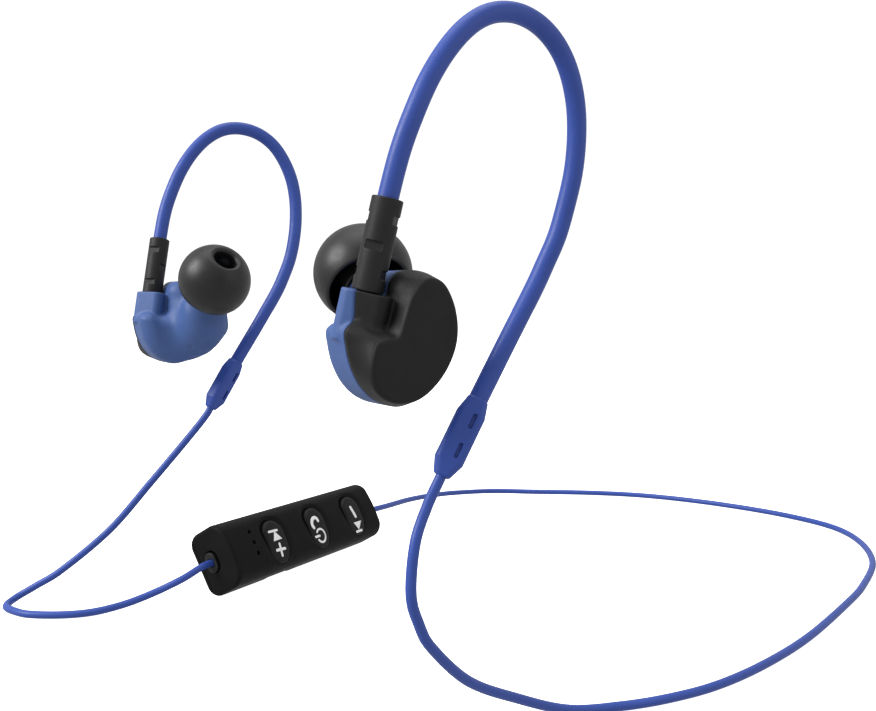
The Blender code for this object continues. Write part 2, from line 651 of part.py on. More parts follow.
def build_buttons(matrix):
    skin = remote_form("button_skin", -BUTTON_PROUD, REMOTE_LENGTH, REMOTE_END_EDGE, None, matrix)
    for name, x in BUTTONS:
        button = button_prism(name, x, 0.0, BUTTON_SKIRT_Z, FACE_CUT_Z[1], "black", matrix)
        boolean(button, skin, "INTERSECT")
        place = matrix @ Matrix.Translation(Vector((x, 0.0, 0.0)) * MM)
        flange = box(f"{name}_flange", BUTTON_FLANGE, (0.0, 0.0, BUTTON_FLANGE_Z), None, place)
        stem = cylinder(f"{name}_stem", BUTTON_STEM_RADIUS, *BUTTON_STEM_Z, None, place, 12)
        boolean(button, flange, "UNION")
        boolean(button, stem, "UNION")
        middle = SEAT_Z + SWITCH[2] / 2
        switch = box(name.replace("button", "key_switch"), SWITCH, (0.0, 0.0, middle), "metal", place)
        plunger = cylinder(f"{name}_plunger", PLUNGER_RADIUS, middle, SWITCH_TOP, None, place, 10)
        boolean(switch, plunger, "UNION")


def build_remote_insides(matrix):
    box("circuit_board", BOARD, (0.0, 0.0, BOARD_Z), "board", matrix)
    box("battery", BATTERY, BATTERY_AT, "cell", matrix, bevel=0.4)
    box("radio_chip", CHIP, (CHIP_X, 0.0, SEAT_Z + CHIP[2] / 2), "black", matrix)
    box("antenna", ANTENNA, (ANTENNA_X, 0.0, SEAT_Z + ANTENNA[2] / 2), "silicone", matrix)
    box("microphone", MICROPHONE, (MIC_HOLE_X, 0.5, SEAT_Z + MICROPHONE[2] / 2), "metal", matrix)
    length, depth, height = SOCKET
    back = -REMOTE_HALF_WIDTH + SOCKET_INSET + depth
    socket = box("charging_socket", SOCKET, (SOCKET_X, back - depth / 2, SOCKET_Z), "metal", matrix)
    hollow = (length - 2 * SOCKET_WALL, depth, height - 2 * SOCKET_WALL)
    hollow_centre = (SOCKET_X, back - depth / 2 - SOCKET_BACK, SOCKET_Z)
    boolean(socket, box("socket_hollow", hollow, hollow_centre, None, matrix), "DIFFERENCE")
    tongue_length = depth - SOCKET_BACK - TONGUE_SETBACK
    tongue_size = (TONGUE[0], tongue_length + SOCKET_BACK, TONGUE[1])
    tongue_centre = (SOCKET_X, back - SOCKET_BACK / 2 - tongue_length / 2, SOCKET_Z)
    boolean(socket, box("socket_tongue", tongue_size, tongue_centre, None, matrix), "UNION")


def build_grommets(matrix):
    for side, end in (("left", -1.0), ("right", 1.0)):
        depth = GROMMET_DEPTH - GAP
        grommet = grommet_solid(f"cord_grommet_{side}", end, 0.0, 0.0, depth, "silicone", matrix)
        tail = grommet_solid(f"grommet_tail_{side}", end, -GROMMET_STEP, *GROMMET_TAIL, None, matrix)
        boolean(grommet, tail, "UNION")
        place = matrix @ Matrix.Translation(Vector((0.0, 0.0, CORD_OFFSET_Z)) * MM)
        along = place @ Matrix.Rotation(math.radians(90.0) * end, 4, "Y")
        half = REMOTE_LENGTH / 2
        reach = (half - GROMMET_BORE_DEPTH, half + 1.0)
        bore = cylinder(f"grommet_bore_{side}", CORD_SOCKET_RADIUS, *reach, None, along, 12)
        boolean(grommet, bore, "DIFFERENCE")


def build_remote():
    matrix = remote_matrix()
    build_remote_cases(matrix)
    build_buttons(matrix)
    build_remote_insides(matrix)
    build_grommets(matrix)


def build_all():
    left = build_left_side()
    bpy.context.view_layer.update()
    right = {group: [mirror_to_right(piece) for piece in pieces] for group, pieces in left.items()}
    for side, groups, flip in (("left", left, 1.0), ("right", right, -1.0)):
        hinge = Vector((STEM_BASE.x, flip * STEM_BASE.y, STEM_BASE.z)) * MM
        joint_empty(f"earpiece_{side}_swivel", hinge, groups["earpiece"] + groups["tip"])
    tube("cord_left", smooth_line(LEFT_CORD_ROUTE, LEFT_CORD_STATIONS), CORD_RADIUS, "blue")
    tube("cord_right", smooth_line(RIGHT_CORD_ROUTE, RIGHT_CORD_STATIONS), CORD_RADIUS, "blue")
    build_remote()


for thing in list(bpy.data.objects):
    bpy.data.objects.remove(thing, do_unlink=True)
PARTS = new_collection(OBJECT)
CUTTERS = new_collection("cutters")
build_all()
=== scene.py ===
"""Looks for the neckband earphones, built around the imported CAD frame.

Sizes and places are in millimetres, except those of the floor and the lights, which are in metres.
"""

import json
import math

import bpy
import numpy as np
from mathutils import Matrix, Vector


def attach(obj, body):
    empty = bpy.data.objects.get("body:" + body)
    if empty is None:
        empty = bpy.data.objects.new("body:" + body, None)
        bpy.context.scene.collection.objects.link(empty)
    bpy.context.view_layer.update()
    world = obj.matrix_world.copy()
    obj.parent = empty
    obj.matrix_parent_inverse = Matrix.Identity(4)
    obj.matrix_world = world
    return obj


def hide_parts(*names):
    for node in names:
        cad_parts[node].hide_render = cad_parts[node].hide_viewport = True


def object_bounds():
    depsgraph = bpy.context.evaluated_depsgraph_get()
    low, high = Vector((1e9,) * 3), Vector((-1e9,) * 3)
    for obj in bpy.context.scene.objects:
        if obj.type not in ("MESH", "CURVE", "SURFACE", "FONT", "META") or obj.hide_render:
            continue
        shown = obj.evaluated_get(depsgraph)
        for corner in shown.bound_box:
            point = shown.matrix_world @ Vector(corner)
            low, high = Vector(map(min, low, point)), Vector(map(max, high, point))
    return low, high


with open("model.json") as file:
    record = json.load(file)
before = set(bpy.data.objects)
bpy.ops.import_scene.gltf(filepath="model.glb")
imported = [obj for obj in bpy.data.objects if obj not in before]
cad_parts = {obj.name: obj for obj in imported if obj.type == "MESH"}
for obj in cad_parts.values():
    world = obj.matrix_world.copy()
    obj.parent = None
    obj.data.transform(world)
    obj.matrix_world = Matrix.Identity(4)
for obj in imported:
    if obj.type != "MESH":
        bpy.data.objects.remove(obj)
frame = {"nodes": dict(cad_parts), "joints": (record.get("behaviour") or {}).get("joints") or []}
CAD_BOX = [list(corner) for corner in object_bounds()]
MM = 0.001
MIRROR = np.array((1.0, -1.0, 1.0))
ROOT = "hooks_cord_and_remote"

# Driving values: the CAD source's, with a few that are finer here or only this file's
CORD_RADIUS = 0.7
LEFT_CORD_ROUTE = (
    (-7.8, -44.1, -53.55), (-9.1, -44.1, -55.8), (-10.6, -44.5, -58.0), (-12.9, -45.6, -62.0),
    (-13.7, -46.0, -68.0), (-12.3, -45.5, -72.0), (-10.3, -45.0, -75.3), (-3.6, -43.0, -81.5),
    (5.4, -41.0, -86.3), (14.7, -40.3, -90.1), (23.3, -41.2, -91.15), (31.4, -42.7, -91.15),
    (41.2, -42.8, -91.15), (54.2, -40.5, -91.15), (70.7, -35.6, -91.15), (92.4, -26.9, -91.15),
    (106.3, -20.5, -91.15), (123.7, -10.2, -91.15), (137.2, 2.8, -91.15), (144.8, 16.0, -91.15),
    (146.0, 30.9, -91.15), (143.4, 45.9, -91.15), (138.3, 60.4, -91.15), (130.9, 73.3, -91.15),
    (120.3, 84.0, -91.15), (108.7, 92.5, -91.15), (95.6, 97.3, -90.4), (82.4, 96.0, -89.3),
    (71.0, 90.9, -88.0), (59.3, 83.9, -86.8), (47.5, 75.3, -85.8), (40.0, 70.4, -85.25),
    (36.4, 68.3, -85.15), (34.3, 67.11, -85.15),
)
RIGHT_CORD_ROUTE = (
    (-7.8, 44.1, -53.55), (-9.1, 44.1, -55.8), (-12.3, 44.8, -59.9), (-19.6, 47.0, -68.9),
    (-26.7, 50.0, -77.8), (-35.0, 54.0, -85.5), (-39.6, 56.2, -88.6), (-43.2, 57.2, -90.7),
    (-45.2, 54.0, -91.15), (-43.9, 49.3, -91.15), (-41.7, 46.3, -91.15), (-36.8, 43.2, -91.15),
    (-31.7, 42.0, -91.1), (-26.0, 42.2, -90.6), (-20.5, 42.0, -89.2), (-15.6, 40.3, -86.9),
    (-12.0, 40.8, -85.4), (-10.1, 41.87, -85.15), (-8.3, 42.89, -85.15),
)
HOOK_RADIUS = 1.25
HOOK_ROUTE = (
    (-18.95, -45.5, -31.5), (-18.0, -46.15, -26.4), (-17.04, -46.75, -21.5), (-15.8, -47.4, -16.2),
    (-14.2, -47.8, -11.8), (-12.2, -48.0, -7.6), (-9.7, -48.1, -3.9), (-6.8, -48.0, -1.0),
    (-3.6, -47.9, 0.8), (0.0, -47.8, 1.3), (3.5, -47.5, 0.5), (6.5, -47.2, -1.5), (8.7, -46.9, -4.5),
    (10.2, -46.4, -8.3), (10.8, -45.9, -12.4), (10.7, -45.4, -16.7), (10.0, -44.8, -20.9),
    (8.9, -44.4, -24.9), (7.3, -44.0, -28.5), (5.6, -43.8, -31.8), (1.7, -43.8, -38.1),
    (-2.9, -44.0, -45.4), (-3.6, -44.0, -46.6),
)
PARTING_Y = -46.3
SEAM = 0.12
BODY_OUTLINE = (
    (-22.4, -36.4), (-22.3, -38.4), (-21.7, -40.7), (-20.5, -42.9), (-18.6, -44.6), (-16.0, -45.4),
    (-13.4, -44.6), (-11.5, -42.8), (-9.7, -40.3), (-8.4, -37.6), (-8.4, -34.9), (-9.3, -32.5),
    (-10.8, -30.6), (-13.1, -29.7), (-15.6, -29.8), (-16.9, -31.2), (-17.1, -33.4), (-17.4, -35.5),
    (-18.7, -36.0), (-20.8, -35.5),
)
# The outer shell narrows to this outline, over FACE_RUN, before its flat face at FACE_DEPTH
FACE_OUTLINE = (
    (-20.3, -38.0), (-21.0, -40.7), (-20.4, -43.1), (-18.5, -44.5), (-16.0, -44.7), (-13.7, -43.8),
    (-11.4, -41.6), (-9.9, -38.7), (-9.6, -35.8), (-10.3, -33.0), (-11.7, -31.0), (-13.9, -30.6),
    (-15.7, -32.5), (-16.7, -35.0), (-17.5, -37.1), (-18.9, -37.3),
)
FACE_DEPTH = 3.9
FACE_STRAIGHT = 0.7
FACE_RUN = 2.9
FACE_EDGE = 0.55
INNER_DEPTH = 6.8
INNER_ROUNDING = 2.6
BOSS_TOP = (-18.65, -44.85, -32.2)
BOSS_LENGTH = 6.0
BOSS_HALF = (2.75, 3.0)
BOSS_SHIFT = 0.25
BOSS_CORNER = 1.3
BOSS_EDGE = 0.22
BOSS_FILLETS = {"outer": 0.6, "inner": 0.5}
VENT = (-14.3, -42.1)
VENT_RADIUS = 0.3
VENT_FLOOR = 9.0
SLEEVE_START = 0.15
SLEEVE_LENGTH = 11.0
SLEEVE_RADIUS = 1.85
NECK_RADIUS = 1.25
NECK_SPAN = (-2.5, 1.0)
SLOT_LEVELS = ((5.4, 0), (2.3, 1), (8.6, 1))
SLOT_SIDE = (-0.66, -0.75, 0.08)
SLOT_DEPTH = 0.4
SLOT_HALF = (1.12, 0.52)
TIP_CENTRE = (-11.8, -30.0, -29.6)
TIP_RADIUS = 6.5
TIP_RIM_RADIUS = 5.6
TIP_WALL = 0.6
TIP_LIP = 0.75
SOUND_BORE = 2.05
STEM_OUTER = 3.2
STEM_BORE = 2.52
NOZZLE_RADIUS = 2.42
NOZZLE_BORE = 1.7
NOZZLE_START = -6.0
NOZZLE_END = 1.2
NOZZLE_BORE_SPAN = (-3.0, 3.0)
BARREL = (
    (-17.0, 3.0), (-16.0, 3.8), (-13.5, 4.4), (-10.0, 4.7), (-7.4, 4.2), (-6.0, 3.2), (-4.6, 3.0),
    (-3.4, 3.0),
)
BARREL_LEAN = (1.5, 1.0)
LEAN_START = -4.0
LEAN_RUN = 6.0
BARREL_FILLET = 2.8
JOINER_TOP = (-2.9, -44.0, -45.4)
JOINER_BOTTOM = (-8.4, -44.1, -54.6)
JOINER_WIDE_SIDE = (-0.74, 0.48, 0.44)
JOINER_STATIONS = ((0.0, 1.3, 1.3), (2.2, 1.85, 1.45), (8.6, 1.85, 1.45), (10.7, 1.05, 1.0))
JOINER_CORNER = 0.85
JOINER_SLOT_LEVELS = (3.1, 7.1)
JOINER_SLOT_HALF = (0.25, 1.0)
JOINER_SLOT_SHIFT = 0.5
JOINER_SLOT_FLOOR = 0.95
REMOTE_CENTRE = (13.35, 54.3, -84.7)
REMOTE_AXIS = (0.869, 0.494, 0.0)
REMOTE_HALF = (25.5, 6.6, 4.55)
REMOTE_CORNER = 2.7
REMOTE_BULGE = 0.7
COVER_SPLIT_Z = -3.25
CORD_OFFSET_Z = -0.9
BUTTONS = (("previous", -11.8), ("power", 2.3), ("next", 16.2))
BUTTON_HALF = (3.0, 4.65)
BUTTON_Y = -0.85
BUTTON_GAP = 0.2
BUTTON_LOW_GAP = 0.04
BUTTON_PROUD = 0.38
BUTTON_CROWN = 0.12
BUTTON_SINK = 0.03
BUTTON_ROUNDING = (0.3, 0.6)
BUTTON_FLOOR = 2.6
BUTTON_HOLE_FLOOR = 3.3
DISH_DEPTHS = (0.02, 0.5)
DISH_REACH = 0.75
DISH_LIMIT = 2.2
MIC_HOLE_RADIUS = 0.42
MIC_HOLE_FLOOR = 3.4
MIC_HOLES = ((-18.45, 2.6), (-18.45, 0.3), (-18.45, -2.0))
GROMMET_HALF = (2.1, 1.3)
GROMMET_LENGTH = 1.6
GROMMET_BORE_DEPTH = 0.9
GROMMET_BORE_GAP = 0.12
POCKET_SHIFT = 0.4
POCKET_MARGINS = (0.15, 0.36)
POCKET_DEPTH = 1.0
SOCKET = (-8.0, -1.65, 7.8, 2.5)
SOCKET_FLOOR_Y = -1.2

JOINTS = {joint["name"]: joint for joint in frame["joints"]}
STEM_BASE = np.array(JOINTS["earpiece_swivel_left"]["pos_m"]) / MM
STEM_AXIS = np.array(JOINTS["earpiece_swivel_left"]["axis"])
TIP_AXIS = np.array(JOINTS["ear_tip_pull_left"]["axis"])
REMOTE_NORMAL = -np.array(JOINTS["press_power"]["axis"])


# ---------------------------------------------------------------- materials

def nodes_of(name):
    made = bpy.data.materials.new(name)
    made.use_nodes = True
    tree = made.node_tree
    return made, tree, tree.nodes["Principled BSDF"]


def noise(tree, scale, detail=3.0):
    place = tree.nodes.new("ShaderNodeTexCoord")
    made = tree.nodes.new("ShaderNodeTexNoise")
    made.inputs["Scale"].default_value = scale
    made.inputs["Detail"].default_value = detail
    tree.links.new(place.outputs["Object"], made.inputs["Vector"])
    return made


def remap(tree, value, low, high):
    made = tree.nodes.new("ShaderNodeMapRange")
    made.inputs["From Min"].default_value = 0.3
    made.inputs["From Max"].default_value = 0.7
    made.inputs["To Min"].default_value = low
    made.inputs["To Max"].default_value = high
    tree.links.new(value, made.inputs["Value"])
    return made.outputs["Result"]


def moulded(name, colour, shade, roughness, grain, grain_depth, specular, sheen=0.0):
    """Moulded plastic or rubber: a fine spark-eroded grain, and a slow drift in colour and gloss."""
    made, tree, shader = nodes_of(name)
    drift = noise(tree, 260.0)
    mix = tree.nodes.new("ShaderNodeMix")
    mix.data_type = "RGBA"
    mix.inputs["A"].default_value = (*colour, 1.0)
    mix.inputs["B"].default_value = (*(c * shade for c in colour), 1.0)
    tree.links.new(remap(tree, drift.outputs["Fac"], 0.0, 1.0), mix.inputs["Factor"])
    tree.links.new(mix.outputs["Result"], shader.inputs["Base Color"])
    smear = noise(tree, 900.0)
    rough = remap(tree, smear.outputs["Fac"], roughness - 0.04, roughness + 0.05)
    tree.links.new(rough, shader.inputs["Roughness"])
    fine = noise(tree, grain, 2.0)
    bump = tree.nodes.new("ShaderNodeBump")
    bump.inputs["Strength"].default_value = 0.35
    bump.inputs["Distance"].default_value = grain_depth * MM
    tree.links.new(fine.outputs["Fac"], bump.inputs["Height"])
    tree.links.new(bump.outputs["Normal"], shader.inputs["Normal"])
    shader.inputs["Specular IOR Level"].default_value = specular
    shader.inputs["Sheen Weight"].default_value = sheen
    shader.inputs["Sheen Roughness"].default_value = 0.4
    return made


def metal(name, colour, roughness):
    made, tree, shader = nodes_of(name)
    shader.inputs["Base Color"].default_value = (*colour, 1.0)
    shader.inputs["Metallic"].default_value = 1.0
    streaks = noise(tree, 2400.0)
    rough = remap(tree, streaks.outputs["Fac"], roughness - 0.06, roughness + 0.1)
    tree.links.new(rough, shader.inputs["Roughness"])
    return made


def plain(name, colour, roughness):
    made, tree, shader = nodes_of(name)
    grain = noise(tree, 1500.0)
    rough = remap(tree, grain.outputs["Fac"], roughness - 0.05, roughness + 0.05)
    tree.links.new(rough, shader.inputs["Roughness"])
    shader.inputs["Base Color"].default_value = (*colour, 1.0)
    return made


BLUE_RUBBER = moulded("blue_rubber", (0.03, 0.068, 0.32), 0.93, 0.42, 5000.0, 0.01, 0.3)
BLUE_PLASTIC = moulded("blue_plastic", (0.05, 0.1, 0.27), 0.95, 0.5, 7000.0, 0.02, 0.3)
BLACK_PLASTIC = moulded("black_plastic", (0.01, 0.01, 0.0103), 0.85, 0.52, 7000.0, 0.03, 0.2)
REMOTE_PLASTIC = moulded("remote_plastic", (0.0065, 0.0065, 0.0067), 0.85, 0.55, 7000.0, 0.03, 0.08)
BLACK_RUBBER = moulded("black_rubber", (0.015, 0.015, 0.015), 0.85, 0.5, 6000.0, 0.02, 0.22)
SILICONE = moulded("silicone", (0.007, 0.007, 0.007), 0.85, 0.42, 3500.0, 0.01, 0.4, 0.01)
BUTTON_RUBBER = moulded("button_rubber", (0.006, 0.006, 0.0063), 0.85, 0.46, 6500.0, 0.02, 0.18)
ICON_INK = plain("icon_ink", (0.78, 0.78, 0.78), 0.5)
STEEL = metal("steel", (0.6, 0.6, 0.62), 0.3)
FILM = plain("diaphragm_film", (0.55, 0.5, 0.35), 0.25)
BOARD = plain("board_green", (0.02, 0.16, 0.07), 0.4)
CELL = metal("cell_foil", (0.55, 0.57, 0.6), 0.35)
CERAMIC = plain("antenna_ceramic", (0.7, 0.7, 0.66), 0.35)


# ---------------------------------------------------------------- mesh helpers

def piece(name, points, faces, finish, body, replaced=()):
    mesh = bpy.data.meshes.new(name)
    mesh.from_pydata((np.asarray(points) * MM).tolist(), [], faces)
    mesh.shade_smooth()
    mesh.update()
    made = bpy.data.objects.new(name, mesh)
    bpy.context.scene.collection.objects.link(made)
    made.data.materials.append(finish)
    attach(made, body)
    if replaced:
        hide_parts(*replaced)


def both_sides(name, points, faces, finish, slot, body):
    """The left piece as given and its mirror image on the right, each standing for its CAD node."""
    bodies = {side: ROOT if body == ROOT else f"{body}_{side}" for side in ("left", "right")}
    piece(f"{name}_skin_left", points, faces, finish, bodies["left"], [f"{name}_left"])
    mirrored = [tuple(reversed(face)) for face in faces]
    piece(f"{name}_skin_right", points * MIRROR, mirrored, finish, bodies["right"], [f"{name}_right"])


def axes_from(axis, side):
    """Columns of a right-handed frame: local Z along axis, local X as near to side as it can be."""
    z = np.asarray(axis, float) / np.linalg.norm(axis)
    x = np.asarray(side, float) - z * np.dot(side, z)
    x /= np.linalg.norm(x)
    return np.stack((x, np.cross(z, x), z), 1)


def smooth_line(route, count, closed=False):
    """Evenly spaced points of a Catmull-Rom curve through the route."""
    points = np.array(route, float)
    if closed:
        padded = np.vstack((points[-1:], points, points[:2]))
    else:
        padded = np.vstack((2 * points[0] - points[1], points, 2 * points[-1] - points[-2]))
    t = (np.arange(24) / 24.0)[:, None]
    spans = []
    for a, b, c, d in zip(padded, padded[1:], padded[2:], padded[3:]):
        square = (2 * a - 5 * b + 4 * c - d) * t**2
        cube = (3 * b - a - 3 * c + d) * t**3
        spans.append(0.5 * (2 * b + (c - a) * t + square + cube))
    dense = np.vstack((*spans, points[:1] if closed else points[-1:]))
    reach = np.concatenate(([0.0], np.cumsum(np.linalg.norm(np.diff(dense, axis=0), axis=1))))
    wanted = np.linspace(0.0, reach[-1], count, endpoint=not closed)
    return np.stack([np.interp(wanted, reach, dense[:, i]) for i in range(3)], 1), reach[-1]


def skin_rings(rings):
    """Points and faces through rings of equally many points, with a face over each end."""
    count = len(rings[0])
    points = np.vstack(rings)
    faces = []
    for row in range(len(rings) - 1):
        for i in range(count):
            j = (i + 1) % count
            faces.append((row * count + i, row * count + j, (row + 1) * count + j, (row + 1) * count + i))
    faces.append(tuple(reversed(range(count))))
    faces.append(tuple(range(len(points) - count, len(points))))
    return points, faces


def swept_tube(line, radius, sides):
    """A round tube along a line, with flat ends and no twist."""
    along = np.gradient(line, axis=0)
    along /= np.linalg.norm(along, axis=1)[:, None]
    side = np.cross(along[0], (0.3, 1.0, 0.2))
    side /= np.linalg.norm(side)
    angles = np.arange(sides) / sides * math.tau
    rings = []
    for place, forward in zip(line, along):
        side = side - forward * np.dot(side, forward)
        side /= np.linalg.norm(side)
        other = np.cross(forward, side)
        rings.append(place + radius * (np.cos(angles)[:, None] * side + np.sin(angles)[:, None] * other))
    return skin_rings(rings)


def turned(profile, origin, axes, steps):
    """Revolve a closed loop of (radius, height) points about local Z."""
    angles = np.arange(steps) / steps * math.tau
    rows = np.array(profile, float)
    local = np.stack(
        (
            rows[:, 0, None] * np.cos(angles),
            rows[:, 0, None] * np.sin(angles),
            np.repeat(rows[:, 1, None], steps, 1),
        ),
        -1,
    ).reshape(-1, 3)
    count = len(rows)
    faces = []
    for row in range(count):
        below = (row + 1) % count
        for i in range(steps):
            j = (i + 1) % steps
            faces.append((row * steps + i, below * steps + i, below * steps + j, row * steps + j))
    return local @ axes.T + origin, faces


# ---------------------------------------------------------------- fields: negative inside, in millimetres

# The spacing of each field's grid, and how far the grid reaches past the shape
STEPS = {
    "sleeve": 0.09, "joiner": 0.1, "outer": 0.14, "inner": 0.15, "front": 0.17, "back": 0.22, "key": 0.14,
    "grommet": 0.1,
}
MARGIN = 0.6
SEAM_MARGIN = 0.3
SHELL_MARGIN = 1.5
NOZZLE_MARGIN = (2.4, 2.6)
# The same from the middle line of a thin piece
SLEEVE_MARGIN = 2.3
JOINER_MARGIN = 2.4
# A height over a sloping side, times one of these, is about the distance from that side
FLANK_FACTOR = 0.85
BARREL_FACTOR = 0.8
FACE_FACTOR = 0.8


def smooth_max(a, b, radius):
    mix = np.clip(0.5 + 0.5 * (a - b) / radius, 0.0, 1.0)
    return b + (a - b) * mix + radius * mix * (1.0 - mix)


def smooth_min(a, b, radius):
    return -smooth_max(-a, -b, radius)


def rounded(distances, radius):
    """A rounded intersection of slabs, from each slab's signed distance."""
    grown = np.stack(np.broadcast_arrays(*distances), -1) + radius
    return np.linalg.norm(np.maximum(grown, 0.0), axis=-1) + np.minimum(grown.max(-1), 0.0) - radius


def local_to(points, origin, axes):
    return (points - np.asarray(origin)) @ axes


def rod(local, radius, low, high, edge):
    radial = np.hypot(local[..., 0], local[..., 1])
    return rounded((radial - radius, low - local[..., 2], local[..., 2] - high), edge)


def obround_distance(x, y, half_x, half_y):
    """Signed distance in a plane to a slot shape that is long along y."""
    over = np.maximum(np.abs(y) - (half_y - half_x), 0.0)
    return np.hypot(x, over) - half_x


class Outline:
    """Signed distance to a closed smooth outline in a plane, looked up in a table."""

    def __init__(self, points, margin=4.0, step=0.1):
        line, _ = smooth_line([(x, z, 0.0) for x, z in points], 160, closed=True)
        line = line[:, :2]
        self.low = line.min(0) - margin
        self.step = step
        size = np.ceil((line.max(0) + margin - self.low) / step).astype(int) + 1
        grid = self.low + step * np.stack(np.meshgrid(*(np.arange(n) for n in size), indexing="ij"), -1)
        best = np.full(grid.shape[:2], 1e9)
        inside = np.zeros(grid.shape[:2], bool)
        for a, b in zip(line, np.roll(line, -1, axis=0)):
            run = b - a
            share = np.clip(((grid - a) @ run) / (run @ run), 0.0, 1.0)
            best = np.minimum(best, np.linalg.norm(grid - a - share[..., None] * run, axis=-1))
            spans = (a[1] > grid[..., 1]) != (b[1] > grid[..., 1])
            rise = run[1] if run[1] else 1.0
            inside ^= spans & (grid[..., 0] < a[0] + run[0] * (grid[..., 1] - a[1]) / rise)
        self.table = np.where(inside, -best, best)

    def __call__(self, x, z):
        u = np.clip((x - self.low[0]) / self.step, 0, self.table.shape[0] - 1.001)
        v = np.clip((z - self.low[1]) / self.step, 0, self.table.shape[1] - 1.001)
        i, j = u.astype(int), v.astype(int)
        s, t = u - i, v - j
        near = self.table[i, j] * (1 - t) + self.table[i, j + 1] * t
        far = self.table[i + 1, j] * (1 - t) + self.table[i + 1, j + 1] * t
        return near * (1 - s) + far * s


def surface(field, low, high, step):
    """Points and quads where a field changes sign: surface nets, then moved onto the surface itself."""
    low = np.asarray(low, float)
    size = np.ceil((np.asarray(high, float) - low) / step).astype(int) + 1
    grid = low + step * np.stack(np.meshgrid(*(np.arange(n) for n in size), indexing="ij"), -1)
    values = field(grid)
    cells = size - 1
    stride = np.array((cells[1] * cells[2], cells[2], 1))
    total = np.zeros((int(np.prod(cells)), 3))
    count = np.zeros(len(total))
    crossings = []
    for axis in range(3):
        first = values[tuple(slice(0, -1) if i == axis else slice(None) for i in range(3))]
        second = values[tuple(slice(1, None) if i == axis else slice(None) for i in range(3))]
        index = np.argwhere((first < 0) != (second < 0))
        a = first[tuple(index.T)]
        b = second[tuple(index.T)]
        place = low + step * index
        place[:, axis] += step * a / (a - b)
        u, v = (axis + 1) % 3, (axis + 2) % 3
        around = []
        for du, dv in ((-1, -1), (0, -1), (0, 0), (-1, 0)):
            cell = index.copy()
            cell[:, u] += du
            cell[:, v] += dv
            flat = cell @ stride
            around.append(flat)
            count += np.bincount(flat, minlength=len(count))
            for i in range(3):
                total[:, i] += np.bincount(flat, weights=place[:, i], minlength=len(count))
        quads = np.stack(around, 1)
        crossings.append(np.where((a < 0)[:, None], quads, quads[:, ::-1]))
    used = count > 0
    number = np.cumsum(used) - 1
    points = total[used] / count[used, None]
    small = 0.2 * step
    for _ in range(3):
        value = field(points)
        rises = [field(points + small * e) - field(points - small * e) for e in np.eye(3)]
        slope = np.stack(rises, -1) / (2 * small)
        move = (value / np.maximum((slope**2).sum(-1), 0.2))[:, None] * slope
        reach = np.maximum(np.linalg.norm(move, axis=1) / (0.4 * step), 1.0)
        points = points - move / reach[:, None]
    return points, number[np.vstack(crossings)].tolist()


# ---------------------------------------------------------------- camera

CAMERA_AT = (-71.1, -147.75, -32.85)
CAMERA_LENS = 41.1
CAMERA_TILT = 3.29
CAMERA_TURN = -31.0
CAMERA_NEAR = 5.0
camera_data = bpy.data.cameras.new("camera")
camera_data.lens = CAMERA_LENS
camera_data.sensor_width = 36.0
camera_data.clip_start = CAMERA_NEAR * MM
camera = bpy.data.objects.new("camera", camera_data)
camera.location = Vector(CAMERA_AT) * MM
camera.rotation_euler = (math.radians(90.0 - CAMERA_TILT), 0.0, math.radians(CAMERA_TURN))
bpy.context.scene.collection.objects.link(camera)
bpy.context.scene.camera = camera


# ---------------------------------------------------------------- cords

def make_cord(name, node, route, stations):
    line, length = smooth_line(route, stations)
    curve = bpy.data.curves.new(name, "CURVE")
    curve.dimensions = "3D"
    curve.bevel_depth = CORD_RADIUS * MM
    curve.bevel_resolution = 6
    curve.use_fill_caps = True
    curve.materials.append(BLUE_RUBBER)
    spline = curve.splines.new("POLY")
    spline.points.add(len(line) - 1)
    spline.use_smooth = True
    for point, place in zip(spline.points, line * MM):
        point.co = (*place, 1.0)
    made = bpy.data.objects.new(name, curve)
    bpy.context.scene.collection.objects.link(made)
    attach(made, ROOT)
    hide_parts(node)


make_cord("cord_skin_left", "cord_left", LEFT_CORD_ROUTE, 320)
make_cord("cord_skin_right", "cord_right", RIGHT_CORD_ROUTE, 130)


# ---------------------------------------------------------------- hooks, sleeves and joiners

hook_line, _ = smooth_line(HOOK_ROUTE, 150)
both_sides("ear_hook", *swept_tube(hook_line, HOOK_RADIUS, 28), BLUE_RUBBER, "blue_rubber", ROOT)

STEM_FRAME = axes_from(STEM_AXIS, SLOT_SIDE)


def sleeve_field(points):
    local = local_to(points, STEM_BASE, STEM_FRAME)
    body = rod(local, SLEEVE_RADIUS, SLEEVE_START, SLEEVE_LENGTH, 0.16)
    body = smooth_min(body, rod(local, NECK_RADIUS, *NECK_SPAN, 0.05), 0.02)
    for level, turned_side in SLOT_LEVELS:
        out, across = (local[..., 1], local[..., 0]) if turned_side else (local[..., 0], local[..., 1])
        along = np.abs(local[..., 2] - level) - SLOT_HALF[1]
        slabs = (SLEEVE_RADIUS - SLOT_DEPTH - np.abs(out), np.abs(across) - SLOT_HALF[0], along)
        body = smooth_max(body, -rounded(slabs, 0.14), 0.05)
    return body


sleeve_low = STEM_BASE + STEM_AXIS * NECK_SPAN[0]
sleeve_high = STEM_BASE + STEM_AXIS * SLEEVE_LENGTH
sleeve_corners = np.stack((sleeve_low, sleeve_high))
sleeve_bounds = (sleeve_corners.min(0) - SLEEVE_MARGIN, sleeve_corners.max(0) + SLEEVE_MARGIN)
points, faces = surface(sleeve_field, *sleeve_bounds, STEPS["sleeve"])
both_sides("strain_relief", points, faces, BLACK_RUBBER, "black_rubber", ROOT)

JOINER_LINE = np.array(JOINER_BOTTOM) - np.array(JOINER_TOP)
JOINER_FRAME = axes_from(JOINER_LINE, JOINER_WIDE_SIDE)


